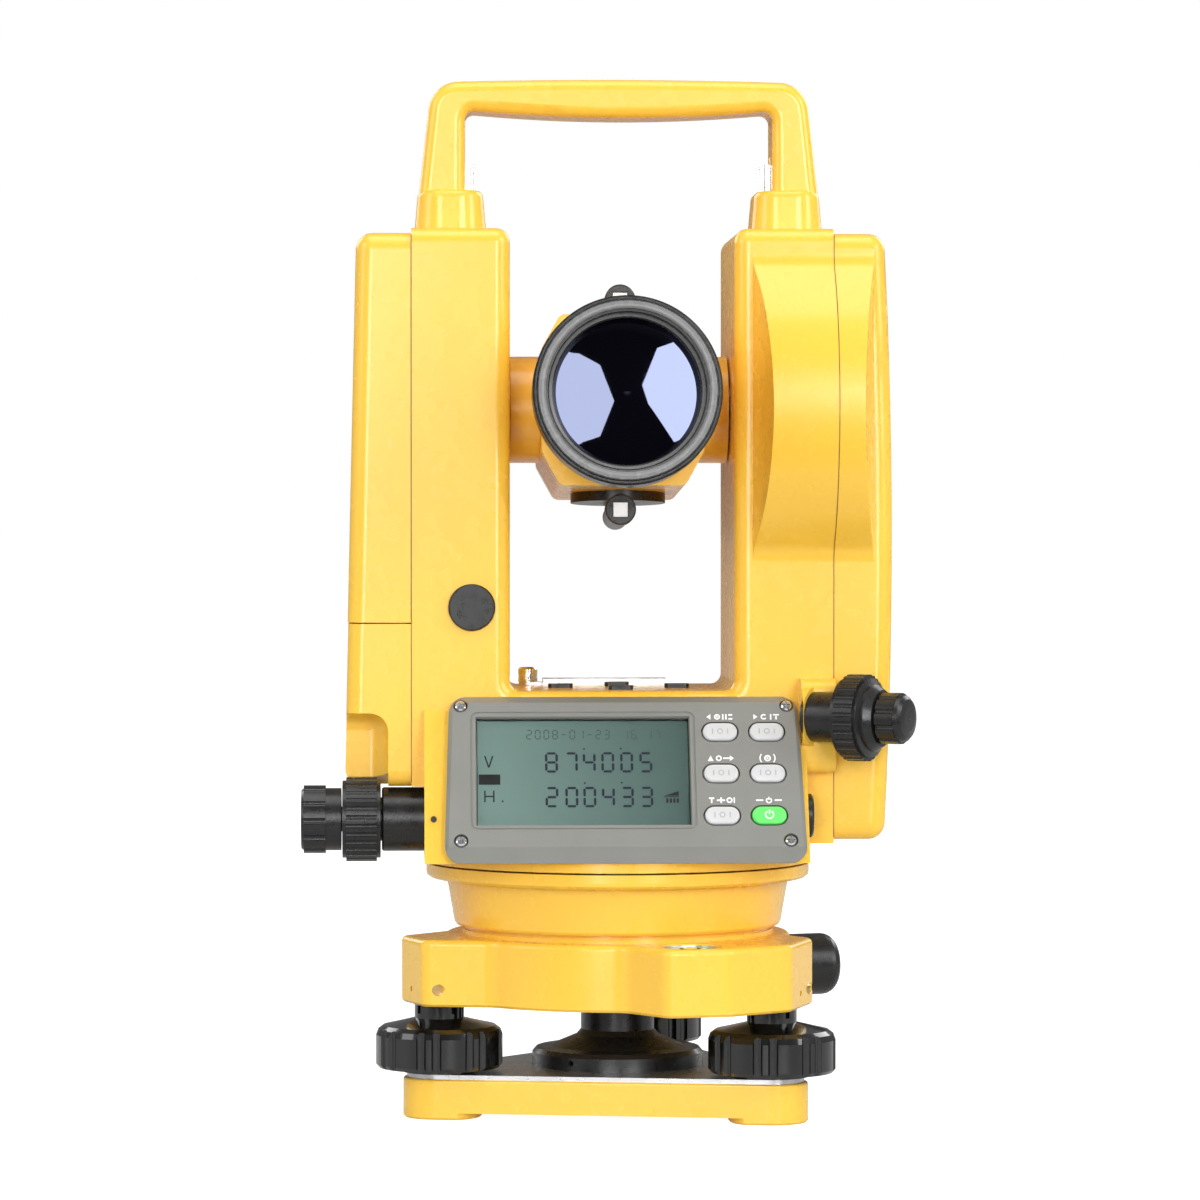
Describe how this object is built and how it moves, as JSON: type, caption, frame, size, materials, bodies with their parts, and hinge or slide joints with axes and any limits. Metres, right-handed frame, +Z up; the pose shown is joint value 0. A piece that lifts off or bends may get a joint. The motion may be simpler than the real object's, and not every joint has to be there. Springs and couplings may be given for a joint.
{
  "type": "electronic theodolite",
  "caption": "Surveying theodolite with a levelling three-screw base, rotating twin-standard body, tilting telescope, angle display with keys, clamp and tangent knobs and a carrying handle.",
  "frame": {"origin": "on the tripod thread's axis, in the plane of the three feet", "axes": "+Z up along the vertical axis, -Y towards the display and objective, +X to the right of the display"},
  "size_m": [0.1954, 0.1605, 0.336],
  "materials": {
    "aluminium": "turned",
    "battery_paint": "semi gloss",
    "bezel_grey": "satin",
    "black_metal": "gloss",
    "board": "satin",
    "body_paint": "semi gloss",
    "brass": "satin",
    "cell": "gloss",
    "chrome": "polished",
    "clear_glass": "polished",
    "coated_glass": "polished",
    "key_green": "satin",
    "key_grey": "satin",
    "knob_gloss": "gloss",
    "knob_satin": "satin",
    "lcd": "satin",
    "steel": "brushed"
  },
  "bodies": {
    "base": {"base_plate": "body_paint", "spring_plate": "steel", "tripod_thread_insert": "steel", "centre_disc": "black_metal", "tribrach_body": "body_paint", "tribrach_set_screws": "brass", "foot_screw_bushes": "brass", "circular_level_housing": "aluminium", "circular_level_vial": "clear_glass", "plummet_barrel": "black_metal", "plummet_prism": "clear_glass", "circle_housing": "body_paint", "axis_sleeve": "steel", "horizontal_circle": "clear_glass"},
    "alidade": {"vertical_spindle": "steel", "alidade_frame": "body_paint", "right_side_cover": "body_paint", "left_lower_cover": "battery_paint", "carry_handle": "body_paint", "handle_screws": "chrome", "display_bezel": "bezel_grey", "lcd_window": "clear_glass", "lcd_module": "lcd", "main_circuit_board": "board", "bezel_screws": "chrome", "data_port": "knob_satin", "adjustment_cap": "knob_satin", "plate_level_housing": "knob_satin", "plate_level_vial": "clear_glass", "plate_level_screw": "chrome", "shelf_pads": "knob_satin", "horizontal_tangent_barrel": "black_metal", "vertical_tangent_barrel": "black_metal", "trunnion_bearings": "brass"},
    "telescope": {"telescope_body": "body_paint", "trunnion_axle": "steel", "vertical_circle": "clear_glass", "objective_cell": "black_metal", "objective_lens": "coated_glass", "optical_sights": "black_metal"},
    "battery": {"battery_case": "battery_paint", "battery_cells": "cell"},
    "battery_catch": {"battery_latch": "knob_satin"},
    "foot_screw_right": {"foot_screw_right": "knob_gloss"},
    "foot_screw_rear": {"foot_screw_rear": "knob_gloss"},
    "foot_screw_left": {"foot_screw_left": "knob_gloss"},
    "plummet_eyepiece": {"plummet_eyepiece": "knob_satin"},
    "key_function_left": {"key_function_left": "key_grey"},
    "key_function_right": {"key_function_right": "key_grey"},
    "key_output": {"key_output": "key_grey"},
    "key_light": {"key_light": "key_grey"},
    "key_measure": {"key_measure": "key_grey"},
    "key_power": {"key_power": "key_green"},
    "horizontal_clamp_ring": {"horizontal_clamp_ring": "knob_satin"},
    "horizontal_tangent_screw": {"horizontal_tangent_screw": "knob_satin"},
    "vertical_clamp_ring": {"vertical_clamp_ring": "knob_satin"},
    "vertical_tangent_screw": {"vertical_tangent_screw": "knob_satin"},
    "focusing_ring": {"focusing_ring": "knob_satin"},
    "eyepiece_ring": {"eyepiece_ring": "knob_satin"},
    "focusing_lens": {"focusing_lens": "aluminium"}
  },
  "joints": [
    {"name": "alidade_turn", "type": "hinge", "parent": "base", "child": "alidade", "pos_m": [0, 0, 0.0813], "axis": [0, 0, 1], "continuous": true},
    {"name": "telescope_tilt", "type": "hinge", "parent": "alidade", "child": "telescope", "pos_m": [0, 0, 0.2288], "axis": [1, 0, 0], "continuous": true},
    {"name": "foot_screw_right_turn", "type": "hinge", "parent": "base", "child": "foot_screw_right", "pos_m": [0.0478, -0.04011, 0.023], "axis": [0, 0, 1], "range_deg": [-720, 720]},
    {"name": "foot_screw_rear_turn", "type": "hinge", "parent": "base", "child": "foot_screw_rear", "pos_m": [0.01084, 0.06145, 0.023], "axis": [0, 0, 1], "range_deg": [-720, 720]},
    {"name": "foot_screw_left_turn", "type": "hinge", "parent": "base", "child": "foot_screw_left", "pos_m": [-0.05864, -0.02134, 0.023], "axis": [0, 0, 1], "range_deg": [-720, 720]},
    {"name": "plummet_focus_turn", "type": "hinge", "parent": "base", "child": "plummet_eyepiece", "pos_m": [0, 0, 0.0446], "axis": [0.9397, 0.342, 0], "range_deg": [-180, 180]},
    {"name": "battery_slide", "type": "slide", "parent": "alidade", "child": "battery", "axis": [-1, 0, 0], "range_m": [0, 0.04]},
    {"name": "battery_catch_press", "type": "slide", "parent": "battery", "child": "battery_catch", "axis": [0, 0, -1], "range_m": [0, 0.002], "stiffness_N_per_m": 400},
    {"name": "key_function_left_press", "type": "slide", "parent": "alidade", "child": "key_function_left", "axis": [0, 0.901, -0.4338], "range_m": [0, 0.0008], "stiffness_N_per_m": 600},
    {"name": "key_function_right_press", "type": "slide", "parent": "alidade", "child": "key_function_right", "axis": [0, 0.901, -0.4338], "range_m": [0, 0.0008], "stiffness_N_per_m": 600},
    {"name": "key_output_press", "type": "slide", "parent": "alidade", "child": "key_output", "axis": [0, 0.901, -0.4338], "range_m": [0, 0.0008], "stiffness_N_per_m": 600},
    {"name": "key_light_press", "type": "slide", "parent": "alidade", "child": "key_light", "axis": [0, 0.901, -0.4338], "range_m": [0, 0.0008], "stiffness_N_per_m": 600},
    {"name": "key_measure_press", "type": "slide", "parent": "alidade", "child": "key_measure", "axis": [0, 0.901, -0.4338], "range_m": [0, 0.0008], "stiffness_N_per_m": 600},
    {"name": "key_power_press", "type": "slide", "parent": "alidade", "child": "key_power", "axis": [0, 0.901, -0.4338], "range_m": [0, 0.0008], "stiffness_N_per_m": 600},
    {"name": "horizontal_clamp_turn", "type": "hinge", "parent": "alidade", "child": "horizontal_clamp_ring", "pos_m": [-0.0605, -0.03, 0.0967], "axis": [-1, 0, 0], "range_deg": [0, 100]},
    {"name": "horizontal_tangent_turn", "type": "hinge", "parent": "alidade", "child": "horizontal_tangent_screw", "pos_m": [-0.0605, -0.03, 0.0967], "axis": [-1, 0, 0], "range_deg": [-720, 720]},
    {"name": "vertical_clamp_turn", "type": "hinge", "parent": "alidade", "child": "vertical_clamp_ring", "pos_m": [0.061, -0.0455, 0.13], "axis": [0.866, -0.5, 0], "range_deg": [0, 100]},
    {"name": "vertical_tangent_turn", "type": "hinge", "parent": "alidade", "child": "vertical_tangent_screw", "pos_m": [0.061, -0.0455, 0.13], "axis": [0.866, -0.5, 0], "range_deg": [-720, 720]},
    {"name": "focusing_ring_turn", "type": "hinge", "parent": "telescope", "child": "focusing_ring", "pos_m": [0, 0, 0.2288], "axis": [0, -0.9981, 0.061], "range_deg": [-270, 90]},
    {"name": "eyepiece_turn", "type": "hinge", "parent": "telescope", "child": "eyepiece_ring", "pos_m": [0, 0, 0.2288], "axis": [0, -0.9981, 0.061], "range_deg": [-180, 180]},
    {"name": "focusing_lens_slide", "type": "slide", "parent": "telescope", "child": "focusing_lens", "axis": [0, -0.9981, 0.061], "range_m": [-0.0096, 0.0034]}
  ],
  "couplings": [
    {"joint": "focusing_lens_slide", "follows": "focusing_ring_turn", "m_per_rad": 0.002}
  ]
}
